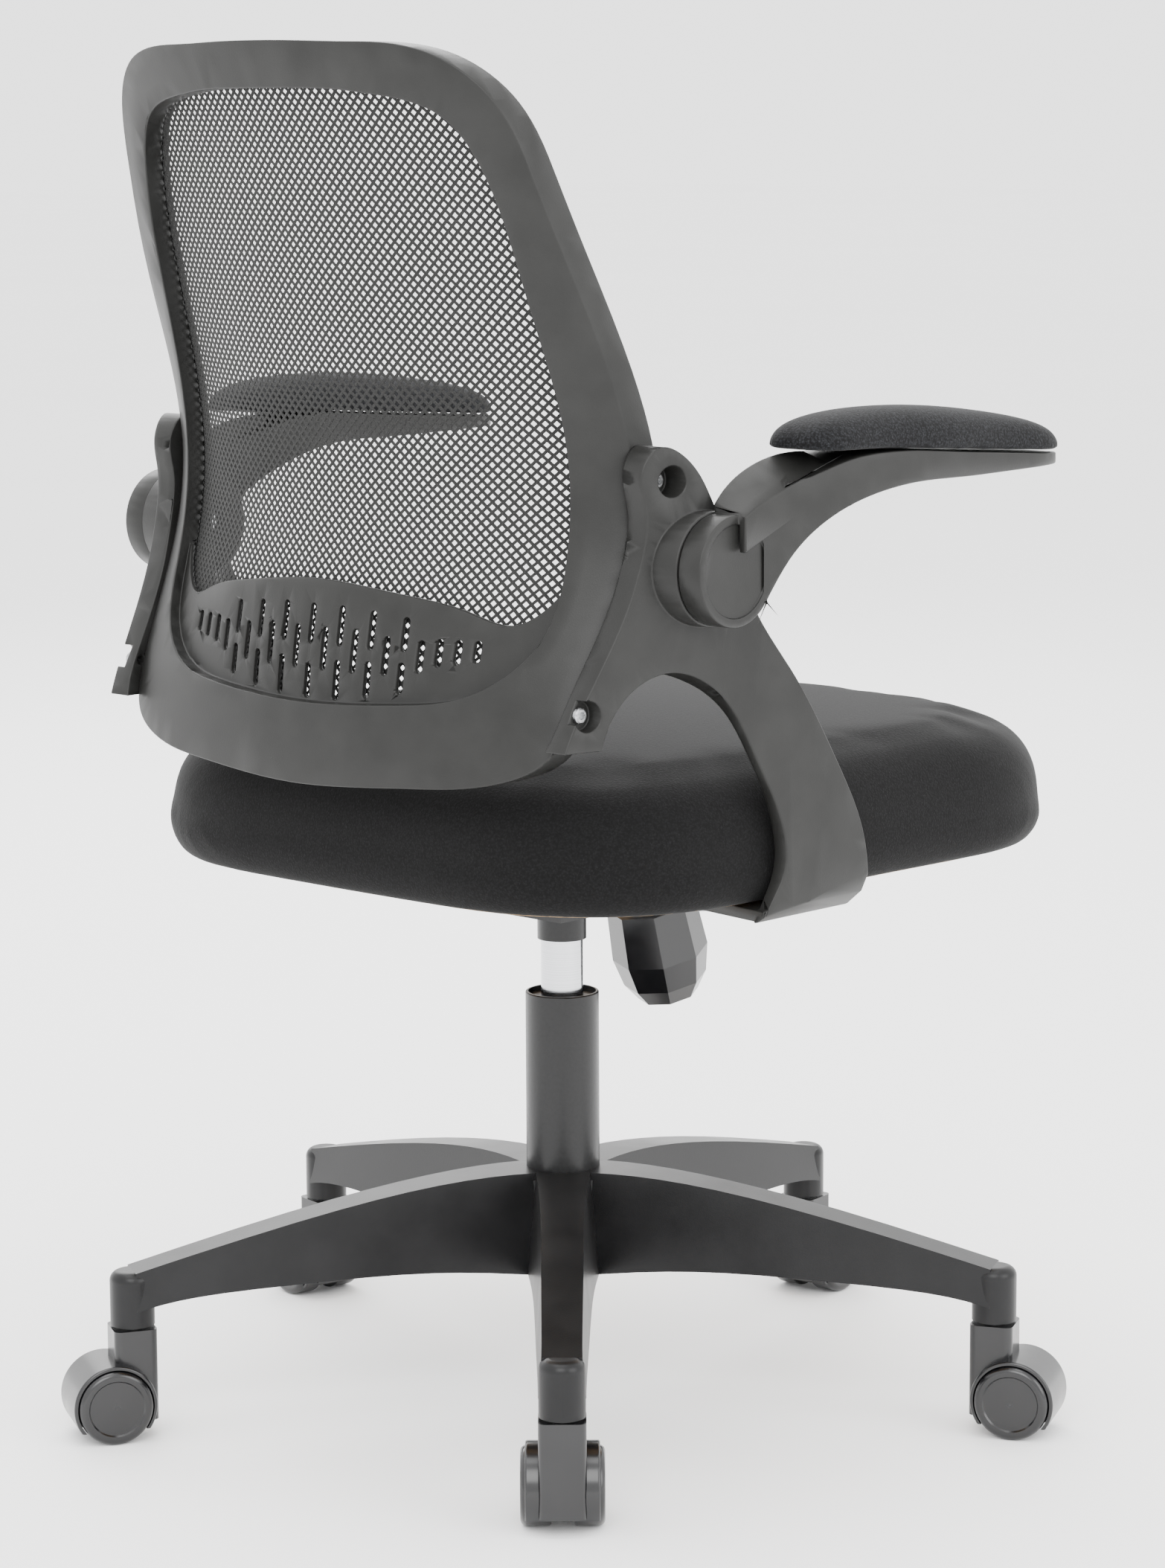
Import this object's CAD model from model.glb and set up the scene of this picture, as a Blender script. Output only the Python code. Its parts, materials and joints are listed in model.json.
import json
import math

import bmesh
import bpy
import numpy as np
from bpy.props import FloatProperty, PointerProperty
from mathutils import Matrix, Vector


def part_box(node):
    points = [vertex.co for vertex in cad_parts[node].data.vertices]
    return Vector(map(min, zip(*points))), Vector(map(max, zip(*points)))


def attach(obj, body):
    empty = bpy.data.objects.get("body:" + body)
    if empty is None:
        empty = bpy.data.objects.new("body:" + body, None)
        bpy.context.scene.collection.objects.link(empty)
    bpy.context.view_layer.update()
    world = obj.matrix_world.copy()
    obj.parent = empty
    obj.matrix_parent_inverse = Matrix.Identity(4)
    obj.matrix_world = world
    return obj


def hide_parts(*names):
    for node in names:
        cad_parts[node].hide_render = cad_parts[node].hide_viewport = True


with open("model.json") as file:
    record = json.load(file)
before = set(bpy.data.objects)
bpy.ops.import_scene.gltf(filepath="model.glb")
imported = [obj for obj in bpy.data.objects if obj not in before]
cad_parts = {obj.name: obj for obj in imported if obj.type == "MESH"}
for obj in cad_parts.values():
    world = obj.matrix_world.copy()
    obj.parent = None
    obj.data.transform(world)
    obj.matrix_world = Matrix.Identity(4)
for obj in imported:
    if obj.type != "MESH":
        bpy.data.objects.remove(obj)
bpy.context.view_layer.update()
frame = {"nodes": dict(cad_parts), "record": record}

bl_info = {
    "name": "Swivel Office Chair",
    "version": (1, 0, 0),
    "blender": (4, 5, 0),
    "location": "View3D > Sidebar > Chair",
    "description": "Builds the looks of a mesh-backed swivel office chair round its frame",
    "category": "Object",
}


# ------------------------------------------------------------------ small helpers


def linear(colour_hex):
    """An sRGB hex colour as linear red, green, blue and alpha."""
    channels = [int(colour_hex[i : i + 2], 16) / 255 for i in (1, 3, 5)]
    return [c / 12.92 if c <= 0.04045 else ((c + 0.055) / 1.055) ** 2.4 for c in channels] + [1.0]


def add_node(tree, kind, inputs=None, **settings):
    """Add one node: settings are its attributes, inputs its values or the sockets that feed it."""
    node = tree.nodes.new(kind)
    for key, value in settings.items():
        setattr(node, key, value)
    for key, value in (inputs or {}).items():
        if isinstance(value, bpy.types.NodeSocket):
            tree.links.new(value, node.inputs[key])
        else:
            node.inputs[key].default_value = value
    return node


def new_material(name):
    """An empty node material with its shader, object coordinates and output."""
    material = bpy.data.materials.new(name)
    material.use_nodes = True
    tree = material.node_tree
    tree.nodes.clear()
    shader = add_node(tree, "ShaderNodeBsdfPrincipled")
    add_node(tree, "ShaderNodeOutputMaterial", {"Surface": shader.outputs["BSDF"]})
    place = add_node(tree, "ShaderNodeTexCoord").outputs["Object"]
    return material, tree, shader, place


def two_tone(tree, factor, low, high, dark, light):
    """A colour that goes from dark to light as the factor goes from low to high."""
    ramp = add_node(tree, "ShaderNodeValToRGB", {"Fac": factor})
    ramp.color_ramp.elements[0].position = low
    ramp.color_ramp.elements[1].position = high
    ramp.color_ramp.elements[0].color = linear(dark)
    ramp.color_ramp.elements[1].color = linear(light)
    return ramp.outputs["Color"]


def spread(tree, factor, low, high):
    """A number that goes from low to high as the factor goes from 0 to 1."""
    node = add_node(tree, "ShaderNodeMapRange", {"Value": factor, "To Min": low, "To Max": high})
    return node.outputs["Result"]


# ---------------------------------------------------------------------- materials


def moulded_nylon(name, dark, light, roughness, grain_mm):
    """Glass-filled nylon from a spark-eroded mould: satin, with a fine even grain."""
    material, tree, shader, place = new_material(name)
    cloud = add_node(tree, "ShaderNodeTexNoise", {"Vector": place, "Scale": 28.0, "Detail": 3.0})
    grain = add_node(tree, "ShaderNodeTexNoise", {"Vector": place, "Scale": 1000 / grain_mm, "Detail": 1.0})
    colour = two_tone(tree, cloud.outputs["Fac"], 0.35, 0.65, dark, light)
    tree.links.new(colour, shader.inputs["Base Color"])
    worn = spread(tree, cloud.outputs["Fac"], roughness - 0.06, roughness + 0.06)
    tree.links.new(worn, shader.inputs["Roughness"])
    bump = add_node(
        tree, "ShaderNodeBump", {"Height": grain.outputs["Fac"], "Strength": 0.18, "Distance": 0.00025}
    )
    tree.links.new(bump.outputs["Normal"], shader.inputs["Normal"])
    shader.inputs["IOR"].default_value = 1.53
    shader.inputs["Specular IOR Level"].default_value = 0.22
    return material


def gloss_nylon():
    """Polished black nylon of the wheels and the knob: sharp reflections with faint moulding waves."""
    material, tree, shader, place = new_material("gloss_black_nylon")
    wave = add_node(tree, "ShaderNodeTexNoise", {"Vector": place, "Scale": 60.0, "Detail": 2.0})
    colour = two_tone(tree, wave.outputs["Fac"], 0.3, 0.7, "#08080a", "#0e0e10")
    tree.links.new(colour, shader.inputs["Base Color"])
    tree.links.new(spread(tree, wave.outputs["Fac"], 0.17, 0.3), shader.inputs["Roughness"])
    bump = add_node(
        tree, "ShaderNodeBump", {"Height": wave.outputs["Fac"], "Strength": 0.08, "Distance": 0.0006}
    )
    tree.links.new(bump.outputs["Normal"], shader.inputs["Normal"])
    shader.inputs["IOR"].default_value = 1.53
    return material


def powder_coat():
    """Black powder coat baked on steel: satin with a slight orange peel."""
    material, tree, shader, place = new_material("black_powder_coat")
    peel = add_node(tree, "ShaderNodeTexNoise", {"Vector": place, "Scale": 420.0, "Detail": 2.0})
    colour = two_tone(tree, peel.outputs["Fac"], 0.3, 0.7, "#0b0b0c", "#121213")
    tree.links.new(colour, shader.inputs["Base Color"])
    tree.links.new(spread(tree, peel.outputs["Fac"], 0.3, 0.42), shader.inputs["Roughness"])
    bump = add_node(
        tree, "ShaderNodeBump", {"Height": peel.outputs["Fac"], "Strength": 0.12, "Distance": 0.0004}
    )
    tree.links.new(bump.outputs["Normal"], shader.inputs["Normal"])
    shader.inputs["Specular IOR Level"].default_value = 0.35
    return material


def chromed_steel():
    """Hard-chromed and ground rod: bright, with fine rings left by the grinding wheel."""
    material, tree, shader, place = new_material("ground_chromed_steel")
    height = add_node(tree, "ShaderNodeSeparateXYZ", {"Vector": place}).outputs["Z"]
    rings = add_node(
        tree, "ShaderNodeTexNoise", {"W": height, "Scale": 2200.0, "Detail": 3.0}, noise_dimensions="1D"
    )
    colour = two_tone(tree, rings.outputs["Fac"], 0.3, 0.7, "#b9babd", "#dcdde0")
    tree.links.new(colour, shader.inputs["Base Color"])
    tree.links.new(spread(tree, rings.outputs["Fac"], 0.12, 0.26), shader.inputs["Roughness"])
    shader.inputs["Metallic"].default_value = 1.0
    return material


def zinc_steel():
    """Zinc-plated steel of the screws and pins: pale grey metal with a mottled sheen."""
    material, tree, shader, place = new_material("zinc_plated_steel")
    mottle = add_node(tree, "ShaderNodeTexVoronoi", {"Vector": place, "Scale": 700.0})
    colour = two_tone(tree, mottle.outputs["Distance"], 0.1, 0.7, "#8f9092", "#b4b5b6")
    tree.links.new(colour, shader.inputs["Base Color"])
    tree.links.new(spread(tree, mottle.outputs["Distance"], 0.28, 0.45), shader.inputs["Roughness"])
    shader.inputs["Metallic"].default_value = 1.0
    return material


def woven_polyester(name, dark, light, fleck):
    """Black woven polyester: matt, with a soft sheen at the edges and small raised knots of yarn.
    The real yarn is 0.5 mm thick; its knots are drawn 1.5 mm apart so that they show."""
    material, tree, shader, place = new_material(name)
    knots = add_node(tree, "ShaderNodeTexVoronoi", {"Vector": place, "Scale": 670.0}, feature="SMOOTH_F1")
    yarn = add_node(tree, "ShaderNodeTexNoise", {"Vector": place, "Scale": 1100.0, "Detail": 2.0})
    raised = spread(tree, knots.outputs["Distance"], 1.0, 0.0)
    mixed = add_node(
        tree, "ShaderNodeMath", {0: raised, 1: yarn.outputs["Fac"]}, operation="MULTIPLY"
    ).outputs[0]
    colour = two_tone(tree, mixed, 0.2, fleck, dark, light)
    tree.links.new(colour, shader.inputs["Base Color"])
    bump = add_node(tree, "ShaderNodeBump", {"Height": mixed, "Strength": 0.55, "Distance": 0.0006})
    tree.links.new(bump.outputs["Normal"], shader.inputs["Normal"])
    shader.inputs["Roughness"].default_value = 0.88
    shader.inputs["Specular IOR Level"].default_value = 0.15
    shader.inputs["Sheen Weight"].default_value = 0.05
    shader.inputs["Sheen Roughness"].default_value = 0.45
    return material


def knitted_polyester():
    """Twisted polyester thread of the back mesh: matt black with lighter strands."""
    material, tree, shader, place = new_material("knitted_polyester_mesh")
    strand = add_node(tree, "ShaderNodeTexNoise", {"Vector": place, "Scale": 1500.0, "Detail": 2.0})
    colour = two_tone(tree, strand.outputs["Fac"], 0.35, 0.7, "#131313", "#2c2c2b")
    tree.links.new(colour, shader.inputs["Base Color"])
    bump = add_node(
        tree, "ShaderNodeBump", {"Height": strand.outputs["Fac"], "Strength": 0.4, "Distance": 0.0003}
    )
    tree.links.new(bump.outputs["Normal"], shader.inputs["Normal"])
    shader.inputs["Roughness"].default_value = 0.75
    shader.inputs["Specular IOR Level"].default_value = 0.2
    shader.inputs["Sheen Weight"].default_value = 0.05
    return material


def birch_plywood():
    """Birch plywood seat board: pale wood with long wavy grain lines 3 mm apart."""
    material, tree, shader, place = new_material("birch_plywood")
    stretch = add_node(tree, "ShaderNodeMapping", {"Vector": place, "Scale": (1.0, 0.06, 1.0)})
    grain = add_node(
        tree, "ShaderNodeTexNoise", {"Vector": stretch.outputs["Vector"], "Scale": 330.0, "Detail": 4.0}
    )
    colour = two_tone(tree, grain.outputs["Fac"], 0.3, 0.75, "#8a6a44", "#c2a176")
    tree.links.new(colour, shader.inputs["Base Color"])
    shader.inputs["Roughness"].default_value = 0.62
    return material


def pale_floor():
    """Matt white studio floor with the faintest unevenness."""
    material, tree, shader, place = new_material("studio_floor")
    cloud = add_node(tree, "ShaderNodeTexNoise", {"Vector": place, "Scale": 0.8})
    colour = two_tone(tree, cloud.outputs["Fac"], 0.2, 0.8, "#fcfcfc", "#ffffff")
    tree.links.new(colour, shader.inputs["Base Color"])
    shader.inputs["Roughness"].default_value = 0.8
    return material


MADE = {}


def finishes():
    """Every finish of the chair, made once and kept by name."""
    if "frame_nylon" not in MADE:
        MADE["frame_nylon"] = moulded_nylon("charcoal_moulded_nylon", "#191918", "#1f1f1e", 0.42, 0.9)
        MADE["base_nylon"] = moulded_nylon("black_moulded_nylon", "#0f0f10", "#151516", 0.34, 0.9)
        MADE["gloss_nylon"] = gloss_nylon()
        MADE["powder_coat"] = powder_coat()
        MADE["bright_rod"] = chromed_steel()
        MADE["steel"] = zinc_steel()
        MADE["seat_fabric"] = woven_polyester("black_woven_polyester", "#050505", "#171718", 0.75)
        MADE["pad_fabric"] = woven_polyester("flecked_black_polyester", "#060607", "#2a2b2e", 0.7)
        MADE["mesh_thread"] = knitted_polyester()
        MADE["plywood"] = birch_plywood()
        MADE["floor"] = pale_floor()
    return MADE


SLOT_FINISH = {
    "nylon_black": "base_nylon",
    "nylon_gloss": "gloss_nylon",
    "nylon_grey": "frame_nylon",
    "powder_coat": "powder_coat",
    "steel": "steel",
    "bright_rod": "bright_rod",
    "fabric_black": "seat_fabric",
    "mesh_black": "mesh_thread",
    "plywood": "plywood",
}


# ------------------------------------------------------------------- mesh helpers


def link(name, mesh):
    """A new object at the origin that shows a mesh."""
    piece = bpy.data.objects.new(name, mesh)
    bpy.context.scene.collection.objects.link(piece)
    return piece


def welded_copy(node, name):
    """A copy of a CAD node's mesh with its loose triangles joined."""
    mesh = frame["nodes"][node].data.copy()
    mesh.materials.clear()
    work = bmesh.new()
    work.from_mesh(mesh)
    bmesh.ops.remove_doubles(work, verts=work.verts, dist=1e-6)
    work.to_mesh(mesh)
    work.free()
    return link(name, mesh)


def bake(piece):
    """Turn a piece's live modifiers into its plain mesh."""
    graph = bpy.context.evaluated_depsgraph_get()
    mesh = bpy.data.meshes.new_from_object(piece.evaluated_get(graph))
    old = piece.data
    piece.modifiers.clear()
    piece.data = mesh
    bpy.data.meshes.remove(old)
    mesh.name = piece.name
    return piece


def soften(piece, voxel, passes):
    """Rebuild a piece on an even grid and ease its edges, as a mould rounds them."""
    remesh = piece.modifiers.new("even_grid", "REMESH")
    remesh.mode = "VOXEL"
    remesh.voxel_size = voxel
    smooth = piece.modifiers.new("ease", "SMOOTH")
    smooth.factor = 0.5
    smooth.iterations = passes
    bake(piece)
    piece.data.polygons.foreach_set("use_smooth", [True] * len(piece.data.polygons))
    return piece


def crisp(piece, width):
    """Join a piece's flat triangles into whole faces and round its sharp edges narrowly."""
    work = bmesh.new()
    work.from_mesh(piece.data)
    bmesh.ops.dissolve_limit(work, angle_limit=math.radians(0.6), verts=work.verts, edges=work.edges)
    work.to_mesh(piece.data)
    work.free()
    piece.data.polygons.foreach_set("use_smooth", [True] * len(piece.data.polygons))
    rounding = piece.modifiers.new("rounded_edges", "BEVEL")
    rounding.width = width
    rounding.segments = 2
    rounding.limit_method = "ANGLE"
    rounding.angle_limit = math.radians(34)
    rounding.use_clamp_overlap = False
    rounding.harden_normals = True
    whole = piece.modifiers.new("triangles", "TRIANGULATE")
    whole.keep_custom_normals = True
    return bake(piece)


def dress(piece, finish):
    """Give a piece one finish."""
    piece.data.materials.clear()
    piece.data.materials.append(finishes()[finish])
    return piece


def mount(piece, body, slot, *nodes):
    """Ride on a body, take a slot's finish and stand in for CAD nodes."""
    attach(piece, body)
    if nodes:
        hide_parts(*nodes)
    return piece


def vertex_array(mesh):
    """A mesh's vertex places as rows of x, y and z."""
    places = np.empty(len(mesh.vertices) * 3)
    mesh.vertices.foreach_get("co", places)
    return places.reshape(-1, 3)


def set_vertices(mesh, places):
    """Write vertex places back to a mesh."""
    mesh.vertices.foreach_set("co", places.ravel())
    mesh.update()


# --------------------------------------------------------------------- back mesh


def lattice_tree():
    """Geometry nodes that lay a diamond lattice of threads over a surface facing -Y."""
    tree = bpy.data.node_groups.new("thread_lattice", "GeometryNodeTree")
    face = tree.interface
    face.new_socket("Geometry", in_out="INPUT", socket_type="NodeSocketGeometry")
    for name, kind in (
        ("Surface", "NodeSocketObject"),
        ("Side Length", "NodeSocketFloat"),
        ("Cells", "NodeSocketInt"),
        ("Middle Height", "NodeSocketFloat"),
        ("Hole Share", "NodeSocketFloat"),
        ("Thread Thickness", "NodeSocketFloat"),
        ("Material", "NodeSocketMaterial"),
    ):
        face.new_socket(name, in_out="INPUT", socket_type=kind)
    face.new_socket("Geometry", in_out="OUTPUT", socket_type="NodeSocketGeometry")
    given = add_node(tree, "NodeGroupInput").outputs
    grid = add_node(
        tree,
        "GeometryNodeMeshGrid",
        {
            "Size X": given["Side Length"],
            "Size Y": given["Side Length"],
            "Vertices X": given["Cells"],
            "Vertices Y": given["Cells"],
        },
    )
    turned = add_node(
        tree, "GeometryNodeTransform", {"Geometry": grid.outputs["Mesh"], "Rotation": (0, 0, math.pi / 4)}
    )
    lift = add_node(tree, "ShaderNodeCombineXYZ", {"Z": given["Middle Height"]})
    upright = add_node(
        tree,
        "GeometryNodeTransform",
        {
            "Geometry": turned.outputs["Geometry"],
            "Rotation": (math.pi / 2, 0, 0),
            "Translation": lift.outputs["Vector"],
        },
    )
    ring = add_node(
        tree,
        "GeometryNodeExtrudeMesh",
        {"Mesh": upright.outputs["Geometry"], "Offset Scale": 0.0, "Individual": True},
    )
    shrunk = add_node(
        tree,
        "GeometryNodeScaleElements",
        {"Geometry": ring.outputs["Mesh"], "Selection": ring.outputs["Top"], "Scale": given["Hole Share"]},
        domain="FACE",
    )
    holed = add_node(
        tree,
        "GeometryNodeDeleteGeometry",
        {"Geometry": shrunk.outputs["Geometry"], "Selection": ring.outputs["Top"]},
        domain="FACE",
    )
    place = add_node(tree, "GeometryNodeInputPosition")
    parts = add_node(tree, "ShaderNodeSeparateXYZ", {"Vector": place.outputs["Position"]})
    start = add_node(
        tree, "ShaderNodeCombineXYZ", {"X": parts.outputs["X"], "Y": -1.0, "Z": parts.outputs["Z"]}
    )
    target = add_node(tree, "GeometryNodeObjectInfo", {"Object": given["Surface"]})
    shot = add_node(
        tree,
        "GeometryNodeRaycast",
        {
            "Target Geometry": target.outputs["Geometry"],
            "Source Position": start.outputs["Vector"],
            "Ray Direction": (0, 1, 0),
            "Ray Length": 3.0,
        },
    )
    missed = add_node(tree, "FunctionNodeBooleanMath", {0: shot.outputs["Is Hit"]}, operation="NOT")
    kept = add_node(
        tree,
        "GeometryNodeDeleteGeometry",
        {"Geometry": holed.outputs["Geometry"], "Selection": missed.outputs[0]},
        domain="POINT",
    )
    laid = add_node(
        tree,
        "GeometryNodeSetPosition",
        {"Geometry": kept.outputs["Geometry"], "Position": shot.outputs["Hit Position"]},
    )
    depth = add_node(tree, "ShaderNodeCombineXYZ", {"Y": given["Thread Thickness"]})
    thick = add_node(
        tree,
        "GeometryNodeExtrudeMesh",
        {
            "Mesh": laid.outputs["Geometry"],
            "Offset": depth.outputs["Vector"],
            "Offset Scale": 1.0,
            "Individual": False,
        },
    )
    both = add_node(tree, "GeometryNodeJoinGeometry")
    tree.links.new(thick.outputs["Mesh"], both.inputs[0])
    tree.links.new(laid.outputs["Geometry"], both.inputs[0])
    merged = add_node(
        tree, "GeometryNodeMergeByDistance", {"Geometry": both.outputs["Geometry"], "Distance": 0.00001}
    )
    real = add_node(tree, "GeometryNodeRealizeInstances", {"Geometry": merged.outputs["Geometry"]})
    finished = add_node(
        tree,
        "GeometryNodeSetMaterial",
        {"Geometry": real.outputs["Geometry"], "Material": given["Material"]},
    )
    add_node(tree, "NodeGroupOutput", {"Geometry": finished.outputs["Geometry"]})
    return tree


def run_tree(piece, tree, values):
    """Feed a geometry tree its named inputs, evaluate it once and keep the plain mesh."""
    modifier = piece.modifiers.new(tree.name, "NODES")
    modifier.node_group = tree
    for socket in tree.interface.items_tree:
        if socket.item_type == "SOCKET" and socket.in_out == "INPUT" and socket.name in values:
            modifier[socket.identifier] = values[socket.name]
    return bake(piece)


def outward(mesh):
    """Turn every face of a closed mesh outwards."""
    work = bmesh.new()
    work.from_mesh(mesh)
    bmesh.ops.recalc_face_normals(work, faces=work.faces)
    work.to_mesh(mesh)
    work.free()


# ------------------------------------------------------------------------- screws


def screw_head_tree():
    """Geometry nodes that set one domed screw head with a round drive on every point, facing one way."""
    tree = bpy.data.node_groups.new("screw_heads", "GeometryNodeTree")
    face = tree.interface
    face.new_socket("Geometry", in_out="INPUT", socket_type="NodeSocketGeometry")
    for name, kind in (
        ("Head Radius", "NodeSocketFloat"),
        ("Head Height", "NodeSocketFloat"),
        ("Drive Depth", "NodeSocketFloat"),
        ("Facing", "NodeSocketVector"),
        ("Material", "NodeSocketMaterial"),
    ):
        face.new_socket(name, in_out="INPUT", socket_type=kind)
    face.new_socket("Geometry", in_out="OUTPUT", socket_type="NodeSocketGeometry")
    given = add_node(tree, "NodeGroupInput").outputs
    blank = add_node(
        tree,
        "GeometryNodeMeshCylinder",
        {"Vertices": 24, "Radius": given["Head Radius"], "Depth": given["Head Height"]},
    )
    shape, chosen = blank.outputs["Mesh"], blank.outputs["Top"]
    down = add_node(tree, "ShaderNodeMath", {0: given["Drive Depth"], 1: -1.0}, operation="MULTIPLY").outputs[0]
    dome = add_node(tree, "ShaderNodeMath", {0: given["Head Height"], 1: 0.35}, operation="MULTIPLY").outputs[0]
    # Rounded shoulder, rim of the drive, and the drive's straight wall
    for lift, share in ((dome, 0.8), (0.0, 0.6), (down, 0.96)):
        step = add_node(
            tree,
            "GeometryNodeExtrudeMesh",
            {"Mesh": shape, "Selection": chosen, "Offset Scale": lift, "Individual": False},
        )
        scaled = add_node(
            tree,
            "GeometryNodeScaleElements",
            {"Geometry": step.outputs["Mesh"], "Selection": step.outputs["Top"], "Scale": share},
            domain="FACE",
        )
        shape, chosen = scaled.outputs["Geometry"], step.outputs["Top"]
    facing = add_node(tree, "FunctionNodeAlignRotationToVector", {"Vector": given["Facing"]}, axis="Z")
    heads = add_node(
        tree,
        "GeometryNodeInstanceOnPoints",
        {"Points": given["Geometry"], "Instance": shape, "Rotation": facing.outputs["Rotation"]},
    )
    real = add_node(tree, "GeometryNodeRealizeInstances", {"Geometry": heads.outputs["Instances"]})
    finished = add_node(
        tree,
        "GeometryNodeSetMaterial",
        {"Geometry": real.outputs["Geometry"], "Material": given["Material"]},
    )
    add_node(tree, "NodeGroupOutput", {"Geometry": finished.outputs["Geometry"]})
    return tree


def solid_boxes(node):
    """Lowest and highest corners of each separate solid in a CAD node."""
    work = bmesh.new()
    work.from_mesh(frame["nodes"][node].data)
    bmesh.ops.remove_doubles(work, verts=work.verts, dist=1e-6)
    waiting = set(work.verts)
    boxes = []
    while waiting:
        island = [waiting.pop()]
        for vertex in island:
            for edge in vertex.link_edges:
                other = edge.other_vert(vertex)
                if other in waiting:
                    waiting.discard(other)
                    island.append(other)
        places = np.array([vertex.co[:] for vertex in island])
        boxes.append((places.min(axis=0), places.max(axis=0)))
    work.free()
    return boxes


# ------------------------------------------------------------------ soft furniture


def swell(piece, pressure, pinned_below, cap):
    """Blow a closed foam shape up a little as cloth, holding its foot still."""
    mesh = piece.data
    rest = vertex_array(mesh)
    foot = piece.vertex_groups.new(name="foot")
    foot.add([int(i) for i in np.flatnonzero(rest[:, 2] < pinned_below)], 1.0, "REPLACE")
    cloth = piece.modifiers.new("cloth", "CLOTH")
    cloth.settings.quality = 5
    cloth.settings.mass = 0.3
    cloth.settings.use_pressure = True
    cloth.settings.uniform_pressure_force = pressure
    cloth.settings.vertex_group_mass = "foot"
    cloth.settings.effector_weights.gravity = 0.0
    cloth.collision_settings.use_collision = False
    cloth.point_cache.frame_start = 1
    cloth.point_cache.frame_end = CLOTH_STEPS
    for step in range(1, CLOTH_STEPS + 1):
        bpy.context.scene.frame_set(step)
    bake(piece)
    bpy.context.scene.frame_set(1)
    moved = vertex_array(piece.data) - rest
    reach = np.linalg.norm(moved, axis=1, keepdims=True)
    share = np.minimum(1.0, cap / np.maximum(reach, 1e-9))
    set_vertices(piece.data, rest + moved * share)
    return piece


# ----------------------------------------------------------------------- settings


class ChairSettings(bpy.types.PropertyGroup):
    mesh_pitch: FloatProperty(
        name="Mesh Pitch",
        description="Distance between the mesh's holes, side to side",
        default=0.0065,
        unit="LENGTH",
    )
    thread_thickness: FloatProperty(
        name="Thread Thickness",
        description="Thickness of the mesh's threads",
        default=0.0009,
        unit="LENGTH",
    )
    hole_share: FloatProperty(
        name="Hole Share",
        description="Width of a hole as a share of its cell",
        default=0.66,
        subtype="FACTOR",
    )
    pad_grid: FloatProperty(
        name="Pad Grid",
        description="Grid on which the arm pads are rebuilt",
        default=0.002,
        unit="LENGTH",
    )
    edge_round: FloatProperty(
        name="Edge Round",
        description="Width of the rounding along a moulded piece's sharp edges",
        default=0.001,
        unit="LENGTH",
    )
    screw_head_height: FloatProperty(
        name="Screw Head Height",
        description="Height of the heads of the screws in the brackets",
        default=0.0022,
        unit="LENGTH",
    )
    seat_grid: FloatProperty(
        name="Seat Grid",
        description="Grid on which the seat's cloth is simulated",
        default=0.006,
        unit="LENGTH",
    )
    seat_pressure: FloatProperty(
        name="Seat Pressure",
        description="How hard the foam pushes the seat's cover out",
        default=4.0,
    )
    seat_swell: FloatProperty(
        name="Seat Swell",
        description="Most that the seat's cover may move",
        default=0.0035,
        unit="LENGTH",
    )


def settings():
    """The chair's sizes, as the panel shows them."""
    return bpy.context.scene.chair_settings


# Camera: turned and pitched in degrees, rolled in radians, placed in metres
CAMERA_AZIMUTH_DEG = 43.0
CAMERA_PITCH_DEG = 9.09
CAMERA_ROLL = -0.0052
CAMERA_DISTANCE = 2.865
CAMERA_HEIGHT = 0.880
CAMERA_ASIDE = 0.01455
SENSOR_HEIGHT_MM = 24.0
# Focal length as a share of the frame's height
LENS_TO_FRAME = 5792 / 2108
FLOOR_REACH = 30.0
CLOTH_STEPS = 20


# ---------------------------------------------------------------------- operators


class CHAIR_OT_finish_frame(bpy.types.Operator):
    """Give every hard piece of the frame its finish"""

    bl_idname = "chair.finish_frame"
    bl_label = "Finish Frame"

    def execute(self, context):
        slots = {part["node"]: part["material_slot"] for part in frame["record"]["subparts"]}
        for name, node in frame["nodes"].items():
            finish = finishes()[SLOT_FINISH[slots[name]]]
            node.data.materials.clear()
            node.data.materials.append(finish)
        return {"FINISHED"}


class CHAIR_OT_back_shell(bpy.types.Operator):
    """Build the moulded frame of the backrest with its rounded edges"""

    bl_idname = "chair.back_shell"
    bl_label = "Back Shell"

    def execute(self, context):
        shell = welded_copy("back_frame", "back_shell")
        crisp(shell, settings().edge_round)
        dress(shell, "frame_nylon")
        mount(shell, "seat", "nylon_grey", "back_frame")
        return {"FINISHED"}


class CHAIR_OT_back_mesh(bpy.types.Operator):
    """Knit the stretched mesh of the backrest"""

    bl_idname = "chair.back_mesh"
    bl_label = "Back Mesh"

    def execute(self, context):
        low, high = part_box("back_mesh")
        width = high.x - low.x
        height = high.z - low.z
        cell = settings().mesh_pitch / math.sqrt(2)
        side = (width + height) / math.sqrt(2)
        cells = round(side / cell)
        surface = welded_copy("back_mesh", "mesh_surface")
        net = link("back_net", bpy.data.meshes.new("back_net"))
        values = {
            "Surface": surface,
            "Side Length": cells * cell,
            "Cells": cells + 1,
            "Middle Height": (low.z + high.z) / 2,
            "Hole Share": settings().hole_share,
            "Thread Thickness": settings().thread_thickness,
            "Material": finishes()["mesh_thread"],
        }
        run_tree(net, lattice_tree(), values)
        bpy.data.objects.remove(surface)
        outward(net.data)
        mount(net, "seat", "mesh_black", "back_mesh")
        # The curve of the back adds 6% to the width, and the rounded corners take 10% off the area
        return {"FINISHED"}


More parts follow.
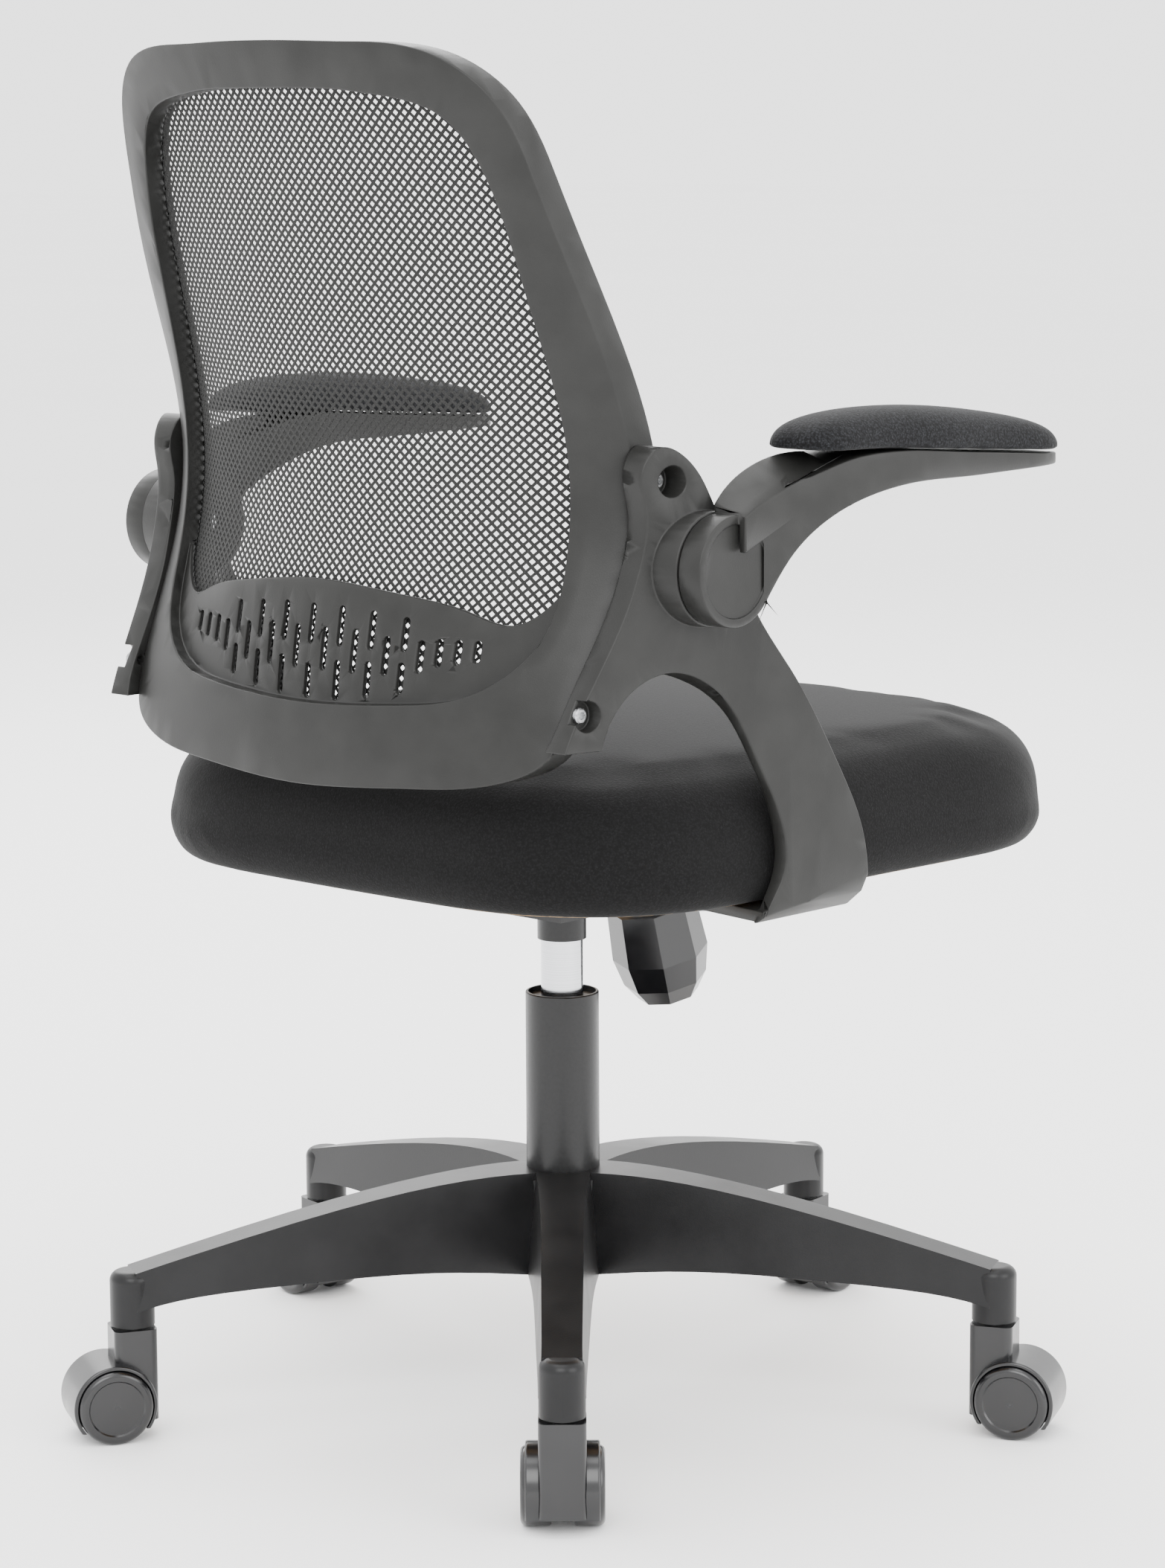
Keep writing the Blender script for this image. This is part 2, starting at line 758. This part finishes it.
class CHAIR_OT_arm_brackets(bpy.types.Operator):
    """Build the two moulded brackets that carry the back and the arms"""

    bl_idname = "chair.arm_brackets"
    bl_label = "Arm Brackets"

    def execute(self, context):
        for side in ("left", "right"):
            bracket = welded_copy(f"arm_bracket_{side}", f"bracket_{side}")
            crisp(bracket, settings().edge_round)
            dress(bracket, "frame_nylon")
            mount(bracket, "seat", "nylon_grey", f"arm_bracket_{side}")
        return {"FINISHED"}


class CHAIR_OT_armrests(bpy.types.Operator):
    """Build the two moulded armrests"""

    bl_idname = "chair.armrests"
    bl_label = "Armrests"

    def execute(self, context):
        for side in ("left", "right"):
            arm = welded_copy(f"armrest_{side}", f"arm_{side}")
            crisp(arm, settings().edge_round)
            dress(arm, "frame_nylon")
            mount(arm, f"arm_{side}", "nylon_grey", f"armrest_{side}")
        return {"FINISHED"}


class CHAIR_OT_arm_pads(bpy.types.Operator):
    """Build the two fabric pads on the arms"""

    bl_idname = "chair.arm_pads"
    bl_label = "Arm Pads"

    def execute(self, context):
        for side in ("left", "right"):
            pad = welded_copy(f"arm_pad_{side}", f"pad_{side}")
            soften(pad, settings().pad_grid, 14)
            dress(pad, "pad_fabric")
            mount(pad, f"arm_{side}", "fabric_black", f"arm_pad_{side}")
        return {"FINISHED"}


class CHAIR_OT_seat_cushion(bpy.types.Operator):
    """Build the upholstered seat"""

    bl_idname = "chair.seat_cushion"
    bl_label = "Seat Cushion"

    def execute(self, context):
        cushion = welded_copy("seat_cushion", "seat_upholstery")
        soften(cushion, settings().seat_grid, 3)
        low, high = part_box("seat_cushion")
        swell(cushion, settings().seat_pressure, low.z + 0.022, settings().seat_swell)
        places = vertex_array(cushion.data)
        # Crown: the middle of the top stands a little above the edge
        across = places[:, 0] / high.x
        along = (places[:, 1] - (low.y + high.y) / 2) / ((high.y - low.y) / 2)
        top = np.clip((places[:, 2] - low.z - 0.04) / 0.046, 0, 1)
        places[:, 2] += 0.006 * top * np.clip(1 - across**2, 0, 1) * np.clip(1 - along**2, 0, 1)
        places[:, 0] = np.clip(places[:, 0], -high.x, high.x)
        set_vertices(cushion.data, places)
        taut = cushion.modifiers.new("taut", "SMOOTH")
        taut.iterations = 4
        finer = cushion.modifiers.new("finer", "SUBSURF")
        finer.levels = 1
        finer.render_levels = 1
        bake(cushion)
        cushion.data.polygons.foreach_set("use_smooth", [True] * len(cushion.data.polygons))
        dress(cushion, "seat_fabric")
        mount(cushion, "seat", "fabric_black", "seat_cushion")
        return {"FINISHED"}


class CHAIR_OT_back_screws(bpy.types.Operator):
    """Set the screws that hold the brackets to the back, heads outwards in their recesses"""

    bl_idname = "chair.back_screws"
    bl_label = "Back Screws"

    def execute(self, context):
        heads = screw_head_tree()
        height = settings().screw_head_height
        for side, facing in (("left", 1.0), ("right", -1.0)):
            places = []
            for low, high in solid_boxes(f"back_screws_{side}"):
                outer = high[0] if facing > 0 else low[0]
                radius = (high[2] - low[2]) / 2
                places.append((outer - facing * height * 0.85, (low[1] + high[1]) / 2, (low[2] + high[2]) / 2))
            seats = bpy.data.meshes.new(f"screws_{side}")
            seats.from_pydata(places, [], [])
            screws = link(f"screws_{side}", seats)
            values = {
                "Head Radius": radius,
                "Head Height": height,
                "Drive Depth": height * 0.8,
                "Facing": (facing, 0.0, 0.0),
                "Material": finishes()["steel"],
            }
            run_tree(screws, heads, values)
            mount(screws, "seat", "steel", f"back_screws_{side}")
        return {"FINISHED"}


class CHAIR_OT_stage(bpy.types.Operator):
    """Set up the floor, the lights and the camera"""

    bl_idname = "chair.stage"
    bl_label = "Stage"

    def execute(self, context):
        floor_mesh = bpy.data.meshes.new("floor")
        reach = FLOOR_REACH
        corners = [(-reach, -reach, 0), (reach, -reach, 0), (reach, reach, 0), (-reach, reach, 0)]
        floor_mesh.from_pydata(corners, [], [(0, 1, 2, 3)])
        floor = dress(link("floor", floor_mesh), "floor")

        azimuth = math.radians(CAMERA_AZIMUTH_DEG)
        pitch = math.radians(CAMERA_PITCH_DEG)
        roll = CAMERA_ROLL
        ahead_flat = Vector((math.sin(azimuth), -math.cos(azimuth), 0))
        right_flat = Vector((-math.cos(azimuth), -math.sin(azimuth), 0))
        place = right_flat * CAMERA_ASIDE - ahead_flat * CAMERA_DISTANCE + Vector((0, 0, CAMERA_HEIGHT))
        ahead = ahead_flat * math.cos(pitch) - Vector((0, 0, math.sin(pitch)))
        up_flat = Vector((0, 0, math.cos(pitch))) + ahead_flat * math.sin(pitch)
        right = right_flat * math.cos(roll) + up_flat * math.sin(roll)
        up = up_flat * math.cos(roll) - right_flat * math.sin(roll)
        data = bpy.data.cameras.new("camera")
        data.sensor_fit = "VERTICAL"
        data.sensor_height = SENSOR_HEIGHT_MM
        data.lens = SENSOR_HEIGHT_MM * LENS_TO_FRAME
        data.clip_end = 200.0
        camera = bpy.data.objects.new("camera", data)
        context.scene.collection.objects.link(camera)
        turn = Matrix((right, up, -ahead)).transposed().to_4x4()
        camera.matrix_world = Matrix.Translation(place) @ turn
        context.scene.camera = camera

        for name, spot, size, power in (
            ("key_softbox", (-1.9, 2.6, 2.7), 2.2, 95),
            ("side_softbox", (-3.2, -0.4, 1.6), 2.0, 55),
            ("back_softbox", (2.6, -1.6, 2.6), 2.4, 80),
            ("top_softbox", (0.2, 0.2, 3.6), 2.6, 70),
        ):
            lamp_data = bpy.data.lights.new(name, "AREA")
            lamp_data.shape = "SQUARE"
            lamp_data.size = size
            lamp_data.energy = power
            lamp = bpy.data.objects.new(name, lamp_data)
            lamp.location = spot
            aim = Vector((0, 0, 0.45)) - Vector(spot)
            lamp.rotation_euler = aim.to_track_quat("-Z", "Y").to_euler()
            context.scene.collection.objects.link(lamp)

        world = bpy.data.worlds.new("studio")
        world.use_nodes = True
        glow = world.node_tree.nodes["Background"]
        glow.inputs["Color"].default_value = linear("#ffffff")
        glow.inputs["Strength"].default_value = 2.6
        context.scene.world = world
        return {"FINISHED"}


BUILD_ORDER = (
    CHAIR_OT_finish_frame,
    CHAIR_OT_back_shell,
    CHAIR_OT_back_mesh,
    CHAIR_OT_arm_brackets,
    CHAIR_OT_armrests,
    CHAIR_OT_arm_pads,
    CHAIR_OT_seat_cushion,
    CHAIR_OT_back_screws,
    CHAIR_OT_stage,
)


class CHAIR_PT_panel(bpy.types.Panel):
    bl_label = "Swivel Office Chair"
    bl_idname = "CHAIR_PT_panel"
    bl_space_type = "VIEW_3D"
    bl_region_type = "UI"
    bl_category = "Chair"

    def draw(self, context):
        for name in ChairSettings.__annotations__:
            self.layout.prop(context.scene.chair_settings, name)
        for operator in BUILD_ORDER:
            self.layout.operator(operator.bl_idname)


def register():
    bpy.utils.register_class(ChairSettings)
    bpy.types.Scene.chair_settings = PointerProperty(type=ChairSettings)
    for operator in BUILD_ORDER:
        bpy.utils.register_class(operator)
    bpy.utils.register_class(CHAIR_PT_panel)


def unregister():
    bpy.utils.unregister_class(CHAIR_PT_panel)
    for operator in reversed(BUILD_ORDER):
        bpy.utils.unregister_class(operator)
    del bpy.types.Scene.chair_settings
    bpy.utils.unregister_class(ChairSettings)


def main():
    register()
    for operator in BUILD_ORDER:
        group, name = operator.bl_idname.split(".")
        getattr(getattr(bpy.ops, group), name)()


if __name__ == "__main__":
    main()
